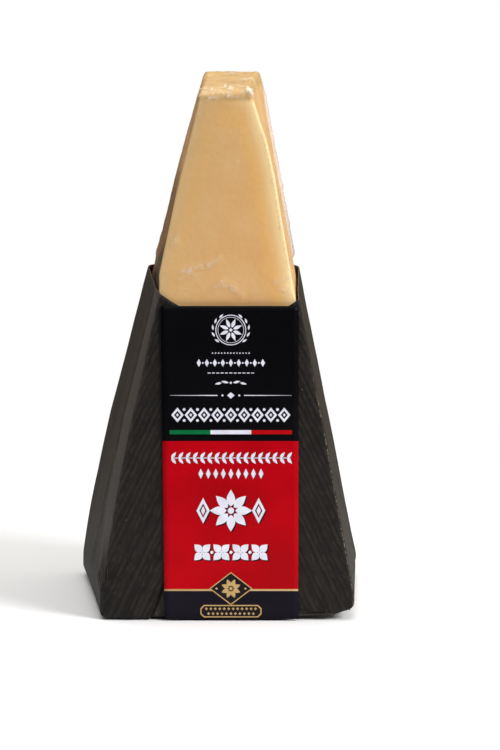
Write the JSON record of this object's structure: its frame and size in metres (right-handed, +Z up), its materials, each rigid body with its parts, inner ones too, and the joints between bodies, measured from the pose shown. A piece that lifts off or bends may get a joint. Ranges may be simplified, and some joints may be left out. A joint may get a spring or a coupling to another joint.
{
  "type": "wrapped parmesan wedge",
  "caption": "Wedge of hard cheese in clear film, standing on its rind in a black paper wrapper with a long label at the front.",
  "frame": {"origin": "middle of the base's footprint, on the table", "axes": "+Z up along the height, the front with the label faces -Y"},
  "size_m": [0.1003, 0.1, 0.185],
  "materials": {
    "cheese": "cut hard cheese, straw yellow, slightly waxy",
    "film": "clear glossy film, wrinkled",
    "paper": "black ribbed paper, matt",
    "label": "coated printed paper, satin"
  },
  "bodies": {
    "root": {"cheese_pack": "cheese", "paper_wrapper": "paper", "label": "label"}
  },
  "joints": []
}
